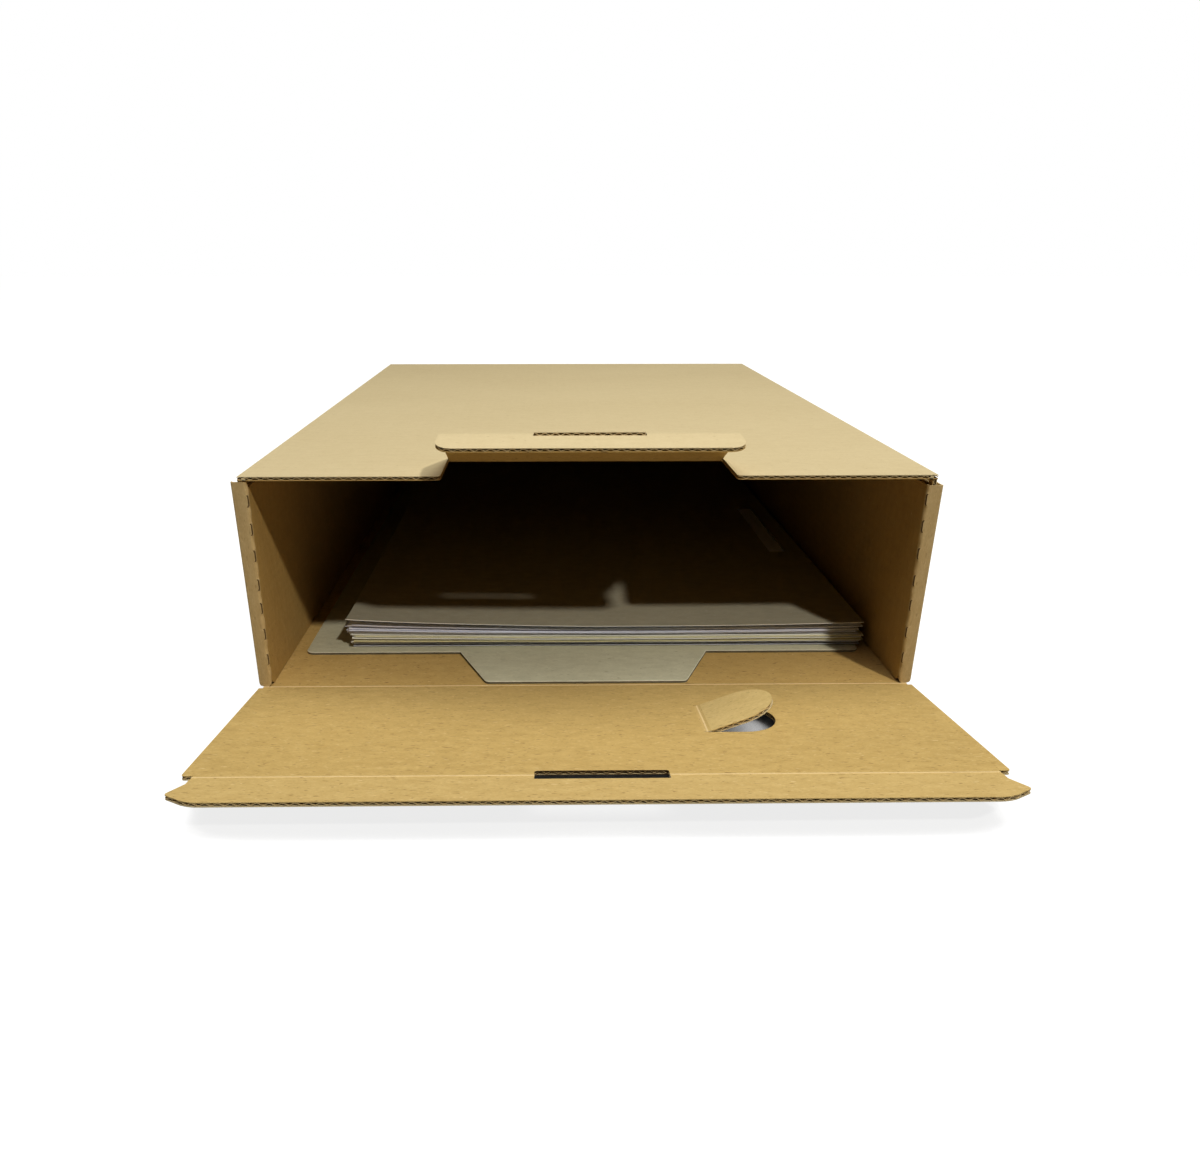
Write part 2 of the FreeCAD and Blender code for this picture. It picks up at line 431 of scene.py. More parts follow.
def makeFibreFlecks():  # short paper fibres lying mostly along the sheet's width
    tree, come, go = newGroup("fibreFlecks", [("Vector", "NodeSocketVector", None),
                                              ("Density", "NodeSocketFloat", 0.5)],
                              [("Dark", "NodeSocketFloat"), ("Light", "NodeSocketFloat")])
    vector = come.outputs["Vector"]
    spread = mathNode(tree, "MULTIPLY", come.outputs["Density"], 0.12)
    sides = []
    for turn, scale in ((0.12, (300, 1300, 1)), (-0.5, (420, 1700, 1)), (1.2, (480, 1500, 1))):
        grain = noiseValue(tree, stretched(tree, vector, scale, turn), 1.0, 1.5, 0.5, 0.4)
        edge = mathNode(tree, "SUBTRACT", 0.74, spread)
        sides.append(mathNode(tree, "MULTIPLY", mathNode(tree, "SUBTRACT", grain, edge), 14.0))
    dark = mathNode(tree, "MAXIMUM", sides[0], sides[2])
    for value, label in ((dark, "Dark"), (sides[1], "Light")):
        held = addNode(tree, "ShaderNodeClamp")
        tree.links.new(value, held.inputs["Value"])
        tree.links.new(held.outputs[0], go.inputs[label])
    return tree


def makePulpMottle():  # cloudy tone of pressed pulp, from broad patches down to grain
    tree, come, go = newGroup("pulpMottle", [("Vector", "NodeSocketVector", None)],
                              [("Broad", "NodeSocketFloat"), ("Cloud", "NodeSocketFloat"),
                               ("Grain", "NodeSocketFloat")])
    vector = come.outputs["Vector"]
    streaky = stretched(tree, vector, (0.5, 1.15, 1))
    for label, scale, detail in (("Broad", 14, 2.0), ("Cloud", 290, 4.0), ("Grain", 1500, 3.0)):
        value = noiseValue(tree, streaky, scale, detail, 0.6)
        tree.links.new(mapValue(tree, value, 0.25, 0.75), go.inputs[label])
    return tree


def makeFluteShow():  # the corrugation that shows through the liner, as a bump and as painted light and shade stripes in the colour
    tree, come, go = newGroup("fluteShow", [("Vector", "NodeSocketVector", None)],
                              [("Wave", "NodeSocketFloat")])
    split = addNode(tree, "ShaderNodeSeparateXYZ")
    tree.links.new(come.outputs["Vector"], split.inputs[0])
    turn = mathNode(tree, "MULTIPLY", split.outputs["X"], 2 * math.pi / board["pitch"])
    wave = mathNode(tree, "MULTIPLY", mathNode(tree, "SINE", turn), 0.5)
    tree.links.new(mathNode(tree, "ADD", wave, 0.5), go.inputs["Wave"])
    return tree


fibreFlecks = makeFibreFlecks()
pulpMottle = makePulpMottle()
fluteShow = makeFluteShow()


def groupNode(tree, group, vector):
    node = tree.nodes.new("ShaderNodeGroup")
    node.node_tree = group
    tree.links.new(vector, node.inputs["Vector"])
    return node


def tinted(tree, base, tint, share):
    node = addNode(tree, "ShaderNodeMix", data_type="RGBA")
    for number, value in ((6, base), (7, tint)):
        if isinstance(value, tuple):
            node.inputs[number].default_value = (*value, 1)
        else:
            tree.links.new(value, node.inputs[number])
    tree.links.new(share, node.inputs[0])
    return node.outputs[2]


def scaled(tree, value, factor):
    return mathNode(tree, "MULTIPLY", value, factor)


def paperMaterial(name, look, **changes):
    look = {**look, **changes}
    material = bpy.data.materials.new(name)
    material.use_nodes = True
    tree = material.node_tree
    shader = tree.nodes["Principled BSDF"]
    vector = addNode(tree, "ShaderNodeUVMap", uv_map="sheet").outputs[0]
    mottle = groupNode(tree, pulpMottle, vector)
    flecks = groupNode(tree, fibreFlecks, vector)
    flecks.inputs["Density"].default_value = look.get("density", 0.5)
    colour = tinted(tree, look["dark"], look["light"], mottle.outputs["Cloud"])
    for tint, source, output in (("patch", mottle, "Broad"), ("grain", mottle, "Grain"),
                                 ("fleck", flecks, "Dark"), ("pale", flecks, "Light")):
        colour = tinted(tree, colour, look[tint], scaled(tree, source.outputs[output], look[tint + "Share"]))
    height = mathNode(tree, "ADD", scaled(tree, mottle.outputs["Grain"], 0.5),
                      scaled(tree, mottle.outputs["Cloud"], 0.9))
    if look.get("flutes"):
        wave = groupNode(tree, fluteShow, vector)
        # painted light and shade: faint stripes at the flute pitch in the colour, besides the bump
        colour = tinted(tree, colour, look["patch"], scaled(tree, wave.outputs["Wave"], look["flutes"]))
        height = mathNode(tree, "ADD", height, scaled(tree, wave.outputs["Wave"], look["flutes"] * 9))
    if look.get("pressed"):  # painted highlight: a light line along a crease, which runs at v = 0
        split = addNode(tree, "ShaderNodeSeparateXYZ")
        tree.links.new(vector, split.inputs[0])
        away = mathNode(tree, "ABSOLUTE", split.outputs["Y"])
        line = mapValue(tree, away, 0.00042, 0.0001)
        colour = tinted(tree, colour, look["pressed"], scaled(tree, line, 0.75))
    if look.get("tone"):  # neighbouring sheets differ a little
        tone = addNode(tree, "ShaderNodeAttribute", attribute_name="tone").outputs["Fac"]
        colour = tinted(tree, colour, look["tone"], tone)
    tree.links.new(colour, shader.inputs["Base Color"])
    rough = mapValue(tree, mottle.outputs["Grain"], 0.0, 1.0, look["rough"] - 0.05, look["rough"] + 0.06)
    tree.links.new(rough, shader.inputs["Roughness"])
    shader.inputs["Specular IOR Level"].default_value = look.get("gloss", 0.3)
    bump = addNode(tree, "ShaderNodeBump", {"Strength": look.get("bump", 0.3), "Distance": 0.00012})
    tree.links.new(height, bump.inputs["Height"])
    tree.links.new(bump.outputs[0], shader.inputs["Normal"])
    return material


outerLook = {"dark": (0.585, 0.485, 0.29), "light": (0.64, 0.54, 0.34), "patch": (0.69, 0.595, 0.385),
             "patchShare": 0.4, "grain": (0.47, 0.375, 0.20), "grainShare": 0.22,
             "fleck": (0.36, 0.26, 0.12), "fleckShare": 0.45, "pale": (0.74, 0.63, 0.42),
             "paleShare": 0.35, "rough": 0.56, "flutes": 0.035, "density": 0.35, "gloss": 0.35}
innerLook = {"dark": (0.475, 0.325, 0.115), "light": (0.585, 0.415, 0.165), "patch": (0.59, 0.41, 0.155),
             "patchShare": 0.45, "grain": (0.34, 0.21, 0.065), "grainShare": 0.30,
             "fleck": (0.22, 0.125, 0.04), "fleckShare": 0.8, "pale": (0.72, 0.57, 0.31),
             "paleShare": 0.6, "rough": 0.66, "flutes": 0.02, "density": 0.6, "bump": 0.4}
mediumLook = {"dark": (0.52, 0.39, 0.19), "light": (0.66, 0.52, 0.29), "patch": (0.60, 0.46, 0.25),
              "patchShare": 0.3, "grain": (0.40, 0.28, 0.13), "grainShare": 0.3,
              "fleck": (0.16, 0.10, 0.04), "fleckShare": 0.5, "pale": (0.55, 0.42, 0.22),
              "paleShare": 0.3, "rough": 0.8}
greyLook = {"dark": (0.455, 0.43, 0.305), "light": (0.575, 0.55, 0.405), "patch": (0.56, 0.53, 0.37),
            "patchShare": 0.4, "grain": (0.33, 0.31, 0.22), "grainShare": 0.3,
            "fleck": (0.24, 0.20, 0.13), "fleckShare": 0.5, "pale": (0.70, 0.67, 0.54),
            "paleShare": 0.5, "rough": 0.72, "density": 0.5}
whiteLook = {"dark": (0.88, 0.88, 0.89), "light": (0.94, 0.94, 0.93), "patch": (0.84, 0.85, 0.89),
             "patchShare": 0.5, "grain": (0.76, 0.76, 0.77), "grainShare": 0.2,
             "fleck": (0.5, 0.5, 0.52), "fleckShare": 0.15, "pale": (0.86, 0.86, 0.86),
             "paleShare": 0.3, "rough": 0.7, "tone": (0.62, 0.64, 0.78)}
creamLook = {"dark": (0.68, 0.62, 0.34), "light": (0.78, 0.73, 0.46), "patch": (0.70, 0.70, 0.44),
             "patchShare": 0.4, "grain": (0.60, 0.54, 0.30), "grainShare": 0.25,
             "fleck": (0.45, 0.38, 0.2), "fleckShare": 0.2, "pale": (0.85, 0.82, 0.6),
             "paleShare": 0.3, "rough": 0.72, "tone": (0.80, 0.79, 0.74)}
coverLook = {"dark": (0.32, 0.295, 0.215), "light": (0.41, 0.38, 0.28), "patch": (0.40, 0.365, 0.25),
             "patchShare": 0.4, "grain": (0.29, 0.26, 0.20), "grainShare": 0.3,
             "fleck": (0.26, 0.22, 0.17), "fleckShare": 0.35, "pale": (0.62, 0.58, 0.5),
             "paleShare": 0.35, "rough": 0.68}
kraftOuter = paperMaterial("kraftOuter", outerLook)
kraftInner = paperMaterial("kraftInner", innerLook)
kraftMedium = paperMaterial("kraftMedium", mediumLook)
# painted shade: a darker copy of the strip's paper for the inner walls, which face into the box
shadedWallKraft = paperMaterial("shadedWallKraft", innerLook, dark=(0.42, 0.275, 0.09), light=(0.51, 0.345, 0.125),
                          fleckShare=0.45, density=0.4, flutes=0.05)
kraftStrip = paperMaterial("kraftStrip", innerLook, dark=(0.50, 0.365, 0.175), light=(0.61, 0.47, 0.25),
                           patch=(0.60, 0.45, 0.23), fleckShare=0.35, flutes=0.0)
# painted shade: near-black paper for the faces inside the rolled edge's slits and the flap's slot, in place
# of their shadow
slitShadeKraft = paperMaterial("slitShadeKraft", innerLook, dark=(0.055, 0.032, 0.014), light=(0.09, 0.055, 0.025),
                         patch=(0.08, 0.05, 0.02), fleckShare=0.2, paleShare=0.0, flutes=0.0, rough=0.9)
# painted light: lighter copies of the inner liner for the flap, its lip and the finger tab, which face the
# light
litFlapKraft = paperMaterial("litFlapKraft", innerLook, dark=(0.475, 0.34, 0.13), light=(0.63, 0.47, 0.20),
                          patch=(0.62, 0.455, 0.18), fleckShare=0.5, density=0.75)
litLipKraft = paperMaterial("litLipKraft", innerLook, dark=(0.52, 0.38, 0.155), light=(0.65, 0.495, 0.225),
                             patch=(0.66, 0.50, 0.215), fleckShare=0.5, density=0.7)
litTabKraft = paperMaterial("litTabKraft", innerLook, dark=(0.60, 0.46, 0.20), light=(0.73, 0.58, 0.28),
                         patch=(0.70, 0.55, 0.26), fleckShare=0.5)
# painted highlight: these copies carry a light line along their crease
creaseHighlightKraft = paperMaterial("creaseHighlightKraft", innerLook, flutes=0, pressed=(0.93, 0.78, 0.50))
flapCreaseHighlightKraft = paperMaterial("flapCreaseHighlightKraft", innerLook, dark=(0.53, 0.385, 0.155),
                                 light=(0.65, 0.49, 0.22), patch=(0.66, 0.49, 0.205), flutes=0,
                                 pressed=(0.80, 0.64, 0.37))
outerCreaseHighlightKraft = paperMaterial("outerCreaseHighlightKraft", outerLook, flutes=0, pressed=(0.74, 0.60, 0.37))
greyBoardFinish = paperMaterial("greyBoardFinish", greyLook)
# the board's own darker cut edge, darkened further as painted shade, and a pale bevel line as a painted
# highlight
greyEdgeAndShade = paperMaterial("greyEdgeAndShade", greyLook, dark=(0.10, 0.085, 0.055),
                              light=(0.16, 0.14, 0.095), patch=(0.13, 0.11, 0.07), paleShare=0.1)
greyRimHighlight = paperMaterial("greyRimHighlight", greyLook, dark=(0.60, 0.58, 0.45), light=(0.72, 0.70, 0.57),
                             patch=(0.68, 0.66, 0.52), fleckShare=0.2)
whitePaper = paperMaterial("whitePaper", whiteLook)
creamPaper = paperMaterial("creamPaper", creamLook)
coverPaper = paperMaterial("coverPaper", coverLook)
print("materials made")


cameraPlace = {"spot": (-0.0152, -0.4695, 0.1542), "down": 20.92, "aside": 0.74, "lens": 26.88,
               "shift": (0.0362, 0.0068)}
studio = {"travel": (-0.49, 0.76, -1.0), "distance": 3.0, "size": 0.17, "power": 52.0,
          "ambient": 0.02, "overhead": (0.1, -0.2, 1.0), "overheadSize": 0.9, "overheadPower": 9.0,
          "fills": ((0.25, 1.7, 0.09), (-1.7, 0.3, 0.12)), "fillSize": 0.3, "fillPower": 13.0,
          "bounce": 0.30, "halo": 0.075, "haloFull": 0.56, "frontLift": 0.84, "floorLift": 1.0,
          "liftStart": 0.030, "liftFull": 0.021, "floorShade": 0.10, "gamma": 0.85}


def makeCamera():
    down, aside = math.radians(cameraPlace["down"]), math.radians(cameraPlace["aside"])
    forward = Vector((math.sin(aside) * math.cos(down), math.cos(aside) * math.cos(down), -math.sin(down)))
    right = Vector((math.cos(aside), -math.sin(aside), 0))
    up = right.cross(forward)
    data = bpy.data.cameras.new("viewCamera")
    data.lens = cameraPlace["lens"]
    data.sensor_width = 36
    data.shift_x, data.shift_y = cameraPlace["shift"]
    data.clip_start = 0.01
    camera = bpy.data.objects.new("viewCamera", data)
    bpy.context.scene.collection.objects.link(camera)
    camera.matrix_world = (Matrix.Translation(cameraPlace["spot"])
                           @ Matrix((right, up, -forward)).transposed().to_4x4())
    bpy.context.scene.camera = camera


def areaLight(name, spot, aim, size, power, colour, glossy=True):
    data = bpy.data.lights.new(name, "AREA")
    data.shape = "DISK"
    data.size = size
    data.energy = power
    data.color = colour
    light = bpy.data.objects.new(name, data)
    light.visible_glossy = glossy
    bpy.context.scene.collection.objects.link(light)
    way = Vector(aim) - Vector(spot)
    light.matrix_world = Matrix.Translation(spot) @ way.to_track_quat("-Z", "Y").to_matrix().to_4x4()


def makeStudio():
    aim = Vector((0, boxFront, 0.05))
    way = Vector(studio["travel"]).normalized()
    areaLight("keyLight", aim - way * studio["distance"], aim, studio["size"], studio["power"],
              (1.0, 0.985, 0.95))
    above = Vector(studio["overhead"])
    areaLight("overheadLight", above, above - Vector((0, 0, 1)), studio["overheadSize"],
              studio["overheadPower"], (1.0, 0.99, 0.97))
    for number, spot in enumerate(studio["fills"]):  # soft light on the back and the left side
        areaLight("fillLight" + str(number), spot, (0, 0, 0.05), studio["fillSize"], studio["fillPower"],
                  (1.0, 0.99, 0.97), False)
    world = bpy.data.worlds.new("studioWorld")
    world.use_nodes = True
    tree = world.node_tree
    back = tree.nodes["Background"]
    back.inputs["Color"].default_value = (1, 1, 1, 1)
    path = tree.nodes.new("ShaderNodeLightPath")
    strength = mapValue(tree, path.outputs["Is Camera Ray"], 0, 1, studio["ambient"], 1.0)
    tree.links.new(strength, back.inputs["Strength"])
    bpy.context.scene.world = world


def makeTable():
    clearSelection()
    bpy.ops.mesh.primitive_grid_add(x_subdivisions=8, y_subdivisions=8, size=12, location=(0, 0, -0.0004))
    table = bpy.context.object
    table.name = "table"
    moveMesh(table, table.matrix_world.copy())
    table.matrix_world = Matrix.Identity(4)
    material = bpy.data.materials.new("tableTop")
    material.use_nodes = True
    tree = material.node_tree
    tree.nodes.remove(tree.nodes["Principled BSDF"])
    out = tree.nodes["Material Output"]
    matte = addNode(tree, "ShaderNodeBsdfDiffuse", {"Color": (studio["bounce"],) * 3 + (1,)})
    seen = addNode(tree, "ShaderNodeBsdfDiffuse", {"Color": (studio["floorShade"],) * 3 + (1,)})
    # painted shadow: the glow fades where ambient occlusion finds the box near, under the flap and round its
    # sides
    near = addNode(tree, "ShaderNodeAmbientOcclusion", {"Distance": studio["halo"]}, samples=16)
    clear = mapValue(tree, near.outputs["AO"], 0.05, studio["haloFull"], 0.0, studio["floorLift"])
    spot = addNode(tree, "ShaderNodeSeparateXYZ")
    tree.links.new(addNode(tree, "ShaderNodeTexCoord").outputs["Object"], spot.inputs[0])
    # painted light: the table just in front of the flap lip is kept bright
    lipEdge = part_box("front_flap_lip")[0].y
    ahead = mapValue(tree, spot.outputs["Y"], lipEdge + studio["liftStart"], lipEdge + studio["liftFull"],
                     0.0, studio["frontLift"])
    lift = mathNode(tree, "MAXIMUM", clear, ahead)
    # the table glows for camera rays as painted light, on top of its lit grey
    glow = addNode(tree, "ShaderNodeEmission")
    tree.links.new(lift, glow.inputs["Strength"])
    total = tree.nodes.new("ShaderNodeAddShader")
    tree.links.new(seen.outputs[0], total.inputs[0])
    tree.links.new(glow.outputs[0], total.inputs[1])
    path = tree.nodes.new("ShaderNodeLightPath")
    mix = tree.nodes.new("ShaderNodeMixShader")
    tree.links.new(path.outputs["Is Camera Ray"], mix.inputs[0])
    tree.links.new(matte.outputs[0], mix.inputs[1])
    tree.links.new(total.outputs[0], mix.inputs[2])
    tree.links.new(mix.outputs[0], out.inputs["Surface"])
    setPapers(table, [material])


makeCamera()
makeStudio()
makeTable()
bpy.context.scene.view_settings.view_transform = "Standard"
bpy.context.scene.view_settings.gamma = studio["gamma"]
print("camera, light and table made")


axisX, axisY, axisZ = Vector((1, 0, 0)), Vector((0, 1, 0)), Vector((0, 0, 1))
thick = boardThick
reach = board["creaseReach"]
outerX = wallHigh.x  # outer face of a side wall
innerX = innerLow.x  # inner face of the rolled-over wall
sideX = bottomHigh.x  # where the bottom turns up into the side walls
lidX = lidHigh.x
flapWay = Vector((0, -math.cos(flapRaised), math.sin(flapRaised)))
flapUp = Vector((0, math.sin(flapRaised), math.cos(flapRaised)))
tongueWay = Vector((0, -math.cos(tongueRaised), math.sin(tongueRaised)))
tongueUp = Vector((0, math.sin(tongueRaised), math.cos(tongueRaised)))
lipAngle = tongueRaised - tongueLipBent
lipWay = Vector((0, -math.cos(lipAngle), math.sin(lipAngle)))
lipUp = Vector((0, math.sin(lipAngle), math.cos(lipAngle)))


def levelPlace(z):
    return placeMatrix(Vector((0, 0, z)), axisX, axisY)


def sidePlace(faceX, inward):  # local x is height, local y runs against the box's depth times inward
    return placeMatrix(Vector((faceX, 0, 0)), axisZ, axisY * -inward)


edge = {"slits": 7, "slit": 0.0043, "first": 0.0085, "step": 0.0102, "tight": 0.0005, "full": 0.0011,
        "outer": 0.0006, "sunk": 0.00014, "wander": 0.00012, "lean": 0.0009, "top": (0.0801, 0.0782),
        "foot": 0.12, "footLift": 0.0019, "paper": 0.00045}
tray = {"relief": 0.022, "outerStep": 0.002, "innerStep": 0.0023, "innerRound": 0.003, "tuckRound": 0.006}


def makeBottom():
    y0, y1 = boxFront + reach, boxBack - thick
    piece = boardPanel("bottomBoard", [(-sideX, y0), (sideX, y0), (sideX, y1), (-sideX, y1)], levelPlace(0))
    finishPiece(piece, "tray", "kraft_board", "bottom_panel")


def makeBack():
    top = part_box("back_wall")[1].z
    place = placeMatrix(Vector((0, boxBack, 0)), axisX, axisZ)
    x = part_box("back_wall")[1].x
    topEdge = top - reach * 0.5
    piece = boardPanel("backBoard", [(-x, thick), (x, thick), (x, topEdge), (-x, topEdge)], place)
    finishPiece(piece, "tray", "kraft_board", "back_wall")


def makeSide(side, label):
    inward = -side
    step = boxFront + tray["relief"]
    low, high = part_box(label + "_outer_wall")
    cut = high.z - tray["outerStep"]
    corners = [(boxFront + thick, thick), (boxBack, thick), (boxBack, high.z), (step, high.z),
               (step, cut), (boxFront + thick, cut)]
    outline = [(z, -inward * y) for y, z in corners]
    rows = [-inward * (boxFront + 0.01 + 0.022 * number) for number in range(12)]
    piece = boardPanel(label + "SideBoard", outline, sidePlace(side * outerX, inward), cutsAcross=rows,
                       cutsAlong=[0.02, 0.04, 0.06])
    for vertex in piece.data.vertices:
        vertex.co.x += side * lean(vertex.co.z, vertex.co.y)
    finishPiece(piece, "tray", "kraft_board", label + "_outer_wall")

    low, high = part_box(label + "_inner_wall")
    cut = high.z - tray["innerStep"]
    corners = [(boxFront + thick, low.z + 0.0002), (high.y, low.z + 0.0002), (high.y, high.z),
               (step, high.z), (step, cut), (boxFront + thick, cut)]
    outline = [(z, -side * y) for y, z in corners]
    piece = boardPanel(label + "InnerBoard", outline, sidePlace(side * innerX, side),
                       {0: tray["innerRound"]}, outer=shadedWallKraft)
    finishPiece(piece, "tray", "kraft_board", label + "_inner_wall")

    low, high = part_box(label + "_back_tuck_tab")
    corners = [(low.y, low.z), (high.y, low.z), (high.y, high.z), (low.y, high.z)]
    outline = [(z, -inward * y) for y, z in corners]
    faceX = high.x if side > 0 else low.x
    rounds = {0: tray["tuckRound"], 3: tray["tuckRound"]}
    piece = boardPanel(label + "TuckTab", outline, sidePlace(faceX, inward), rounds)
    finishPiece(piece, "tray", "kraft_board", label + "_back_tuck_tab")


def lean(z, y):  # the open end of each side wall springs outwards a little
    return edge["lean"] * max(0.0, z / wallHigh.z) ** 1.3 * math.exp(-(y - boxFront) / 0.06)


def makeRolledEdge(side, label):  # the narrow front edge where the wall rolls over, with its slit creases
    random.seed(11 if side > 0 else 23)
    top, bottom = edge["top"][0 if side < 0 else 1], thick
    starts = [bottom + edge["first"] + edge["step"] * number + random.uniform(-0.0006, 0.0006)
              for number in range(edge["slits"])]
    back, front = boxFront + thick, boxFront + 0.00025
    wide = outerX - innerX
    arc = 7

    def nearSlit(z):
        inside = [1 - abs(z - start - edge["slit"] / 2) / (edge["slit"] * 0.62) for start in starts]
        return max(0.0, min(1.0, 3 * max(inside)))

    def inSlit(z):
        return any(start < z < start + edge["slit"] for start in starts)

    def place(u, v):
        z = bottom + (top - bottom) * v
        column = round((1 - u if side > 0 else u) * (2 * arc + 2))
        tight = nearSlit(z)
        radius = edge["full"] + (edge["tight"] - edge["full"]) * tight
        swell = edge["wander"] * math.sin(z * 900 + side) * (1 - tight)
        if column <= arc:
            angle = math.radians(90 * column / arc)
            x = outerX - edge["outer"] * (1 - math.cos(angle))
            y = front + edge["outer"] * (1 - math.sin(angle)) if column else back
            run = edge["outer"] * (angle - math.pi / 2)
        elif column >= arc + 2:
            angle = math.radians(90 * (column - arc - 2) / arc)
            x = innerX + radius * (1 - math.sin(angle)) + swell * math.sin(angle)
            y = front + radius * (1 - math.cos(angle)) if column < 2 * arc + 2 else back
            run = wide + radius * angle
        else:
            x = (outerX + innerX) / 2
            y = front
            run = wide / 2
        x += lean(z, boxFront) * max(0.0, (x - innerX) / wide)
        if arc + 4 < column < 2 * arc + 1 and inSlit(z):
            x, y = x + edge["sunk"], y + edge["sunk"]
        lift = 0.0
        across = abs(x - (outerX + innerX) / 2) / (wide / 2)
        if v < edge["foot"]:
            lift = edge["footLift"] * across ** 4 * (1 - v / edge["foot"])
        return Vector((side * x, y, z + lift)), (z, run)

    # painted shade: the faces inside each slit take the near-black second paper
    def slit(z, run):
        turned = (run - wide) / edge["tight"]
        return 0.35 < turned < 1.4 and inSlit(z)

    piece = gridPiece(label + "RolledEdge", 2 * arc + 2, 200, place, edge["paper"],
                      [kraftStrip, slitShadeKraft, kraftMedium], slit)
    finishPiece(piece, "tray", "kraft_board", label + "_rollover_strip")


def makeTrayFolds():
    parts = []
    y0, length = boxFront + thick, boxBack - boxFront - 2 * thick
    for side in (-1, 1):
        corner = Vector((side * sideX, y0, thick))
        parts.append(foldArc("fold", corner, axisY, -axisZ, length, -side * math.pi / 2, kraftOuter))
    corner = Vector((-sideX, boxBack - thick, thick))
    parts.append(foldArc("fold", corner, axisX, -axisZ, 2 * sideX, math.pi / 2, kraftOuter))
    piece = joinPieces("trayFolds", parts)
    finishPiece(piece, "tray", "kraft_board")


makeBottom()
makeBack()
for side, label in ((-1, "left"), (1, "right")):
    makeSide(side, label)
    makeRolledEdge(side, label)
makeTrayFolds()
print("tray made")


lid = {"recess": 0.1030, "round": 0.002, "mouthRound": 0.0015}


def makeLid():
    half = lid["recess"] / 2
    y0, y1 = boxFront + 0.0002, boxBack - reach
    notch = tongueCrease.y + reach
    corners = [(-lidX, y0), (-half, y0), (-half, notch), (half, notch), (half, y0), (lidX, y0),
               (lidX, y1), (-lidX, y1)]
    outline = [(x, -y) for x, y in corners]
    place = placeMatrix(Vector((0, 0, lidHigh.z)), axisX, -axisY)
    rounds = {1: lid["mouthRound"], 2: lid["round"], 3: lid["round"], 4: lid["mouthRound"]}
    piece = boardPanel("lidBoard", outline, place, rounds)
    finishPiece(piece, "lid", "kraft_board", "lid_panel")


lidFlap = {"nose": 0.0039, "noseBack": 0.0021, "noseUp": 0.003, "heel": 0.0057, "tip": 0.0007,
           "tipLow": 0.0018, "relief": 0.0023, "reliefEnd": 0.019, "backLow": 0.0035, "back": 0.0018,
           "backUp": 0.006}


def makeLidFlap(side, label):
    low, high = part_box("lid_" + label + "_side_flap")
    inward = -side
    faceX = high.x if side > 0 else low.x
    top = high.z
    slotTop = top - lidFlap["relief"]
    nose, tip = boxFront + lidFlap["nose"], boxFront + lidFlap["tip"]
    back, reliefEnd = boxBack - lidFlap["back"], boxFront + lidFlap["reliefEnd"]
    corners = [(nose - lidFlap["noseBack"], low.z + lidFlap["noseUp"]), (boxFront + lidFlap["heel"], low.z),
               (boxBack - lidFlap["backLow"], low.z), (back, low.z + lidFlap["backUp"]), (back, top),
               (reliefEnd, top), (reliefEnd, slotTop), (nose, slotTop), (nose, top), (tip, top),
               (tip, slotTop), (boxFront + lidFlap["tipLow"], slotTop)]
    outline = [(z, -inward * y) for y, z in corners]
    piece = boardPanel("lid" + label.title() + "Flap", outline, sidePlace(faceX, inward))
    finishPiece(piece, "lid", "kraft_board", "lid_" + label + "_side_flap")


def makeLidFolds():
    parts = []
    for side in (-1, 1):
        centre = abs(sideFlapLow.x)
        corner = Vector((side * centre, boxFront + 0.0002, lidLow.z))
        length = boxBack - reach - boxFront - 0.0002
        parts.append(foldArc("fold", corner, axisY, axisZ, length, side * math.pi / 2, kraftOuter))
    piece = joinPieces("lidFolds", parts)
    finishPiece(piece, "lid", "kraft_board")


tongue = {"half": 0.0512, "slot": 0.0385, "slotReach": 0.0028, "proud": 0.0014, "lip": 0.0138,
          "lipRound": 0.006, "flare": 0.0008, "droop": 0.0009, "slotGap": 0.00025}


def makeTongue():
    half = tongue["half"]
    slotHalf, end = tongue["slot"] / 2 - tongue["slotGap"], tongueLength - reach
    slotEnd = tongueLength + tongue["proud"]  # the cut edge stands proud of the bent crease
    outline = [(-half, reach), (half, reach), (half, end), (slotHalf, end), (slotHalf, slotEnd),
               (-slotHalf, slotEnd), (-slotHalf, end), (-half, end)]
    piece = boardPanel("tongueBoard", outline, placeMatrix(tongueCrease, axisX, tongueWay))
    finishPiece(piece, "tongue", "kraft_board", "closing_tongue")


def makeTongueLip():
    half, length = tongue["half"], tongue["lip"]
    slotHalf, slotEnd = tongue["slot"] / 2, tongue["slotReach"]
    wide = half + tongue["flare"]
    outline = [(-half, reach), (-slotHalf, reach), (-slotHalf, slotEnd), (slotHalf, slotEnd),
               (slotHalf, reach), (half, reach), (wide, length), (-wide, length)]
    place = placeMatrix(tongueLipCrease + lipUp * thick, axisX, lipWay)
    piece = boardPanel("tongueLip", outline, place, {6: tongue["lipRound"], 7: tongue["lipRound"]},
                       cutsAcross=[reach + 0.001 * number for number in range(1, 12)])
    for vertex in piece.data.vertices:
        away = max(0.0, (vertex.co - tongueLipCrease).dot(lipWay) - 0.002) / (length - 0.002)
        vertex.co -= lipUp * tongue["droop"] * away ** 1.4
    finishPiece(piece, "tongue_end", "kraft_board", "tongue_lip")


crease = {"ridge": 0.00016, "bars": 8, "wander": 0.00012}


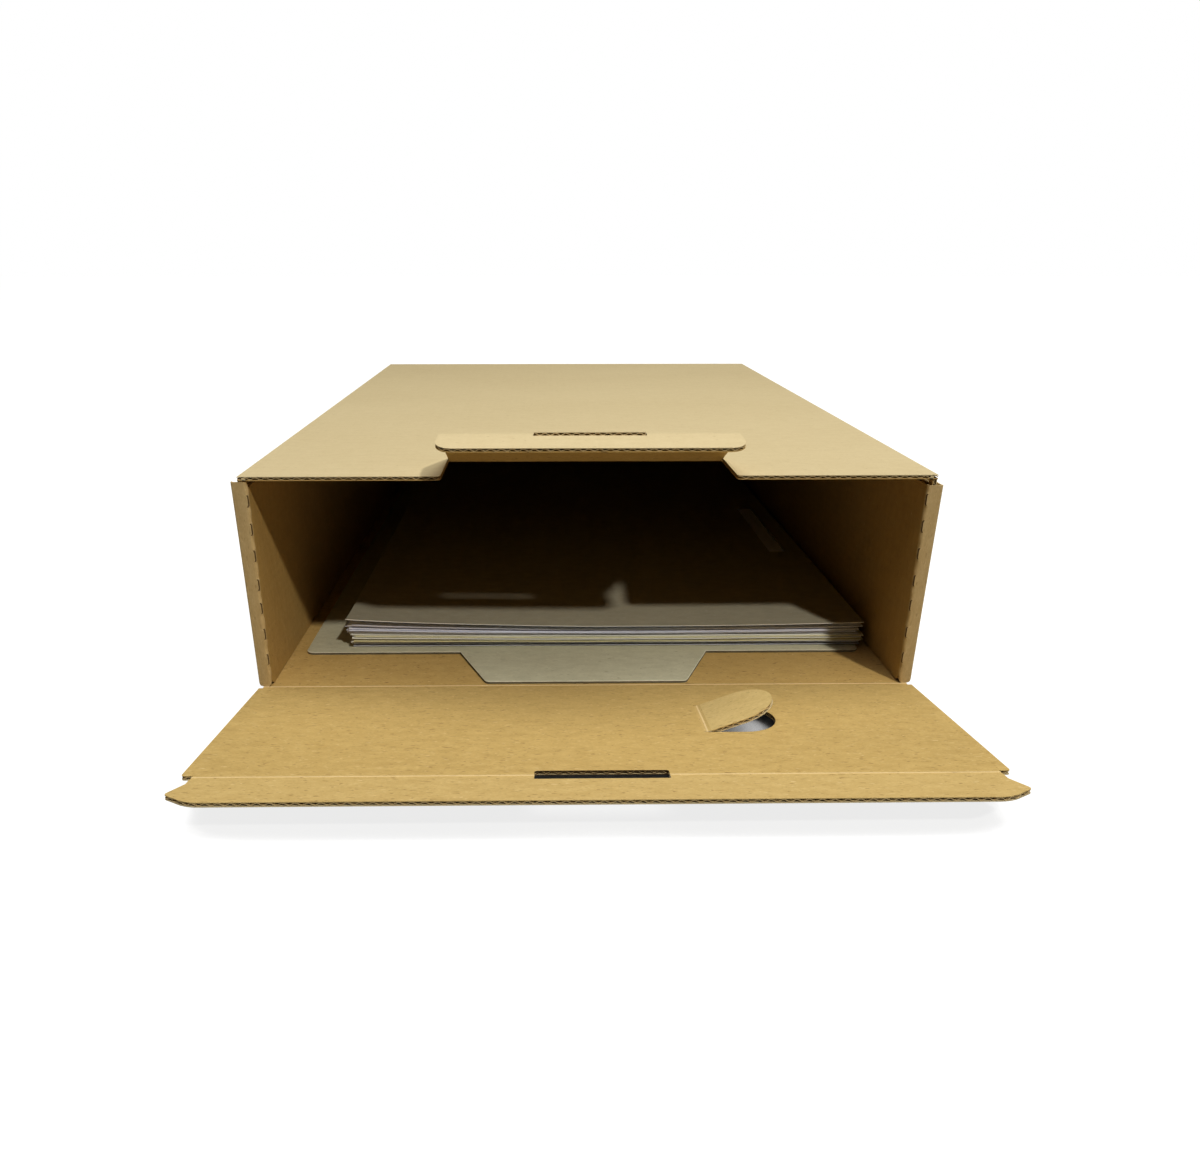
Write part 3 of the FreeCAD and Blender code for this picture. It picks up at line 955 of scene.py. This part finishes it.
def creaseBar(name, spans, point, wayA, wayB, upA, upB, papers, seed, ridge=None):
    ridge = crease["ridge"] if ridge is None else ridge
    random.seed(seed)
    phases = [random.uniform(0, 6.28) for number in range(3)]
    parts = []
    axis = wayB.cross(upB).normalized()
    for start, end in spans:
        count = max(2, round(abs(end - start) / 0.003))

        def place(u, v):
            along = start + (end - start) * u
            away = (2 * v - 1) * reach
            wave = sum(math.sin(along * 1000 * rate + phase) for rate, phase in
                       zip((0.11, 0.37, 0.9), phases)) / 3
            bend = v * v * (3 - 2 * v)
            up = (upA * (1 - bend) + upB * bend).normalized()
            spot = point + (wayA * -away if away < 0 else wayB * away)
            near = max(0.0, 1 - (away / 0.0006) ** 2)
            lift = ridge * near * (1 + 0.5 * wave)
            shift = (wayB * wave * crease["wander"]) * near
            return spot + axis * along + up * lift + shift, (along, away)

        parts.append(gridPiece(name, count, crease["bars"], place, thick, papers))
    piece = joinPieces(name, parts)
    pointOutwards(piece)
    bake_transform(piece)
    return piece


flap = {"half": 0.1228, "slotAt": 0.0012, "slot": 0.040, "slotReach": 0.0022, "slotFar": 0.0031,
        "lip": 0.0156, "neck": 0.1194, "neckLong": 0.004, "ear": 0.1232, "earAt": 0.0105, "end": 0.1150,
        "shadeAside": 0.0004, "shadeAlong": 0.0007}


def slotSpan():
    return flap["slotAt"] - flap["slot"] / 2, flap["slotAt"] + flap["slot"] / 2


def flapPlace():
    origin = flapCrease - flapUp * thick
    return placeMatrix(origin, axisX, -flapWay)


finger = {"from": 0.0216, "width": 0.0234, "length": 0.0246, "gap": 0.0003}


def fingerOutline(grow, start):
    x0 = fingerCrease.x
    middle = finger["from"] + finger["width"] / 2
    radius = finger["width"] / 2 + grow
    centreX = x0 + finger["length"] - finger["width"] / 2
    curve = arcPoints((centreX, -middle), radius, -90, 90, 18)
    return [(x0 + start, -middle + radius), (x0 + start, -middle - radius)] + curve


fingerCrease = hingePoint("finger_tab_hinge")


def shadeCut(piece, left, right, at):  # painted shade: the cut faces in the slot are painted dark, in place of the shadow inside the slot
    piece.data.materials.append(slitShadeKraft)
    for face in piece.data.polygons:
        away = (face.center - lipCrease).dot(flapWay)
        beside = left - flap["shadeAside"] < face.center.x < right + flap["shadeAside"]
        if beside and abs(away - at) < flap["shadeAlong"]:
            if abs(face.normal.dot(flapUp)) < 0.7 or face.center.z < lipCrease.z - board["liner"] * 2:
                face.material_index = len(piece.data.materials) - 1


def makeFlap():
    half, length = flap["half"], flapLength
    left, right = slotSpan()
    end, slotEnd = -(length - reach), -(length - flap["slotFar"])
    outline = [(-half, -reach), (-half, end), (left, end), (left, slotEnd), (right, slotEnd),
               (right, end), (half, end), (half, -reach)]
    hole = fingerOutline(finger["gap"], -reach)
    piece = boardPanel("flapBoard", outline, flapPlace(), {1: 0.001, 3: 0.0009, 4: 0.0009, 6: 0.001}, [hole],
                       inner=litFlapKraft)
    shadeCut(piece, left, right, -flap["slotFar"])
    finishPiece(piece, "drop_front", "kraft_board", "front_flap")


def makeFlapLip():
    length = flapLength
    neck, ear, end = flap["neck"], flap["ear"], flap["end"]
    y = [-(length + value) for value in (reach, flap["neckLong"], flap["earAt"], flap["lip"])]
    slotY = -(length + flap["slotReach"])
    left, right = slotSpan()
    outline = [(-neck, y[0]), (-neck, y[1]), (-ear, y[2]), (-end, y[3]), (end, y[3]), (ear, y[2]),
               (neck, y[1]), (neck, y[0]), (right, y[0]), (right, slotY), (left, slotY), (left, y[0])]
    piece = boardPanel("flapLip", outline, flapPlace(), {2: 0.0012, 3: 0.003, 4: 0.003, 5: 0.0012},
                       inner=litLipKraft)
    finishPiece(piece, "drop_front_lip", "kraft_board", "front_flap_lip")


def makeFinger():
    rises = (Matrix.Rotation(0.1, 3, flapWay) @ axisX).dot(flapUp) > 0
    turn = turnAbout(fingerCrease, flapWay, fingerRaised if rises else -fingerRaised)
    outline = fingerOutline(0.0, reach)
    piece = boardPanel("fingerTab", outline, turn @ flapPlace(), inner=litTabKraft)
    finishPiece(piece, "finger_tab", "kraft_board", "finger_pull_tab")
    wayB = turn.to_3x3() @ axisX
    upB = turn.to_3x3() @ flapUp
    middle = finger["width"] / 2
    creaseBar("fingerCrease", [(-middle, middle)], fingerCrease, -axisX, wayB, flapUp, upB,
              [flapCreaseHighlightKraft, kraftOuter], 41, 0.00002)


def makeCreases():
    inner = [creaseHighlightKraft, kraftOuter]
    outer = [outerCreaseHighlightKraft, kraftInner]
    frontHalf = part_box("front_flap")[1].x
    creaseBar("frontCrease", [(-frontHalf + 0.0015, frontHalf - 0.0015)], flapCrease, axisY, flapWay, axisZ,
              flapUp, inner, 5)
    neck = flap["neck"]
    left, right = slotSpan()
    creaseBar("lipCrease", [(-neck + 0.0002, -right), (-left, neck - 0.0002)], lipCrease, -flapWay, flapWay,
              flapUp, flapUp, [flapCreaseHighlightKraft, kraftOuter], 6, 0.00013)
    slotHalf = tongue["slot"] / 2
    half = tongue["half"]
    creaseBar("tongueCrease", [(-half + 0.0004, half - 0.0004)], tongueCrease, axisY,
              tongueWay, axisZ, tongueUp, outer, 7, 0.00004)
    creaseBar("tongueLipCrease", [(-half, -slotHalf), (slotHalf, half)], tongueLipCrease, -tongueWay, lipWay,
              -tongueUp, -lipUp, inner, 8, 0.0)
    creaseBar("lidBackCrease", [(-lidX, lidX)], hingePoint("lid_hinge"), -axisZ, -axisY, axisY, axisZ,
              outer, 9, 0.0)


makeLid()
for side, label in ((-1, "left"), (1, "right")):
    makeLidFlap(side, label)
makeLidFolds()
makeTongue()
makeTongueLip()
print("lid made")
makeFlap()
makeFlapLip()
makeFinger()
makeCreases()
print("front flap made")


pull = {"tabFront": 0.0013, "tabHalf": (0.038, 0.050), "front": 0.0285, "half": 0.1125, "back": 0.329,
        "corner": 0.003, "tabCorner": 0.0015, "edgeRound": 0.00026}


def makePullBoard():
    f = boxFront
    a, b = pull["tabHalf"]
    x, y = pull["half"], f + pull["front"]
    back = f + pull["back"]
    outline = [(-a, f + pull["tabFront"]), (a, f + pull["tabFront"]), (b, y), (x, y), (x, back), (-x, back),
               (-x, y), (-b, y)]
    rounds = {number: pull["tabCorner"] if number < 2 else pull["corner"] for number in (0, 1, 3, 4, 5, 6)}
    piece = slab("pullBoard", outline, pullHigh.z, pullHigh.z - pullLow.z, rounds, greyBoardFinish)
    applyModifier(piece, "BEVEL", width=pull["edgeRound"], segments=2, limit_method="ANGLE")
    sheetMap(piece)
    piece.data.materials.append(greyEdgeAndShade)
    piece.data.materials.append(greyRimHighlight)
    # painted shade and highlight: side faces take the dark edge paper, bevel faces the pale rim paper
    for face in piece.data.polygons:
        if abs(face.normal.z) < 0.3:
            face.material_index = 1
        elif face.normal.z < 0.97 and face.normal.z > 0:
            face.material_index = 2
    makeActive(piece)
    bpy.ops.object.shade_smooth_by_angle(angle=math.radians(40))
    finishPiece(piece, "contents", "grey_board", "pull_board")


stack = {"sag": 0.0013, "sheet": 0.00036, "curl": 0.0022, "reach": 0.5}


def wavySheet(name, box, thickness, papers, tone, seed, sagShare, lift=0.0):
    (x0, y0, z0), (x1, y1) = box
    random.seed(seed)
    phases = [random.uniform(0, 6.28) for number in range(4)]
    swing = random.uniform(0.5, 1.0) * 0.00006

    def place(u, v):
        x = x0 + (x1 - x0) * u
        y = y0 + (y1 - y0) * (v ** 1.6)
        sag = stack["sag"] * sagShare * (1 - (2 * u - 1) ** 2) ** 0.8 * math.exp(-v * 5)
        wave = swing * (math.sin(u * 9 + phases[0]) + math.sin(u * 21 + phases[1])) * math.exp(-v * 4)
        curl = lift * max(0.0, 1 - u / stack["reach"]) ** 1.5 * math.exp(-v * 2.5)
        trim = 0.0005 * math.sin(u * 2.2 + phases[2]) * (1 - v)
        return Vector((x, y + trim * 0.4, z0 + thickness - sag + wave + curl)), (x, y)

    piece = gridPiece(name, 40, 14, place, thickness, papers)
    values = piece.data.attributes.new("tone", "FLOAT", "POINT")
    values.data.foreach_set("value", [tone] * len(piece.data.vertices))
    return piece


bundles = {
    "lower": {"paper": whitePaper, "slot": "white_paper", "sheets": 6, "seed": 3,
              "tones": (0.1, 0.6, 0.2, 0.8), "sag": (0.0, 0.12)},
    "middle": {"paper": creamPaper, "slot": "cream_paper", "sheets": 6, "seed": 4,
               "tones": (0.9, 0.1, 0.3, 0.95, 0.2, 0.8), "sag": (0.15, 0.4)},
    "upper": {"paper": whitePaper, "slot": "white_paper", "sheets": 7, "seed": 5,
              "tones": (0.3, 0.9, 0.5, 0.7), "sag": (0.4, 0.7)},
    "top": {"paper": whitePaper, "slot": "white_paper", "sheets": 4, "seed": 6,
            "tones": (0.7, 0.2, 0.4), "sag": (0.7, 0.95), "setBack": 0.005},
}


def makeBundle(level, bundle):
    name, node = level + "Documents", "document_bundle_" + level
    low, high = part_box(node)
    count, seed, tones = bundle["sheets"], bundle["seed"], bundle["tones"]
    sagLow, sagHigh = bundle["sag"]
    depth = high.z - low.z
    parts = []
    random.seed(seed)
    for number in range(count):
        share = number / max(1, count - 1)
        z = low.z + (depth - stack["sheet"] - 0.0001) * share
        shiftX = random.uniform(-0.0013, 0.0009)
        shiftY = random.uniform(0.0, 0.0020) + (bundle.get("setBack", 0.0) if share > 0.3 else 0.0)
        sheet = stack["sheet"] * random.uniform(0.6, 1.15)
        sagShare = sagLow + (sagHigh - sagLow) * share
        box = ((low.x + 0.0008 + shiftX, low.y + shiftY, z), (high.x - 0.0008 + shiftX, high.y - 0.002))
        tone = tones[number % len(tones)]
        curl = stack["curl"] * max(0.0, sagShare) ** 1.3
        parts.append(wavySheet(name, box, sheet, [bundle["paper"]], tone, seed * 31 + number, sagShare,
                               curl))
    piece = joinPieces(name, parts)
    finishPiece(piece, "contents", bundle["slot"], node)


cover = {"sheet": 0.0003, "slotX": 0.101, "slotY": 0.123, "slotHalf": 0.004, "slotLong": 0.082}


def makeCover():
    box = (tuple(coverLow), tuple(coverHigh)[:2])
    top = wavySheet("coverSheet", box, cover["sheet"], [coverPaper, whitePaper], 0.0, 77, 1.0, stack["curl"])
    left, right = cover["slotX"] - cover["slotHalf"], cover["slotX"] + cover["slotHalf"]
    near = boxFront + cover["slotY"]
    far = near + cover["slotLong"]
    hole = [(left, near), (right, near), (right, far), (left, far)]
    cutter = slab("cutter", hole, 0.03, 0.03)
    applyModifier(top, "BOOLEAN", operation="DIFFERENCE", object=cutter, solver="EXACT")
    bpy.data.objects.remove(cutter)
    finishPiece(top, "contents", "grey_paper", "folder_cover_sheet")


makePullBoard()
for level, bundle in bundles.items():
    makeBundle(level, bundle)
makeCover()
print("contents made")

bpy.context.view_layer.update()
clearSelection()
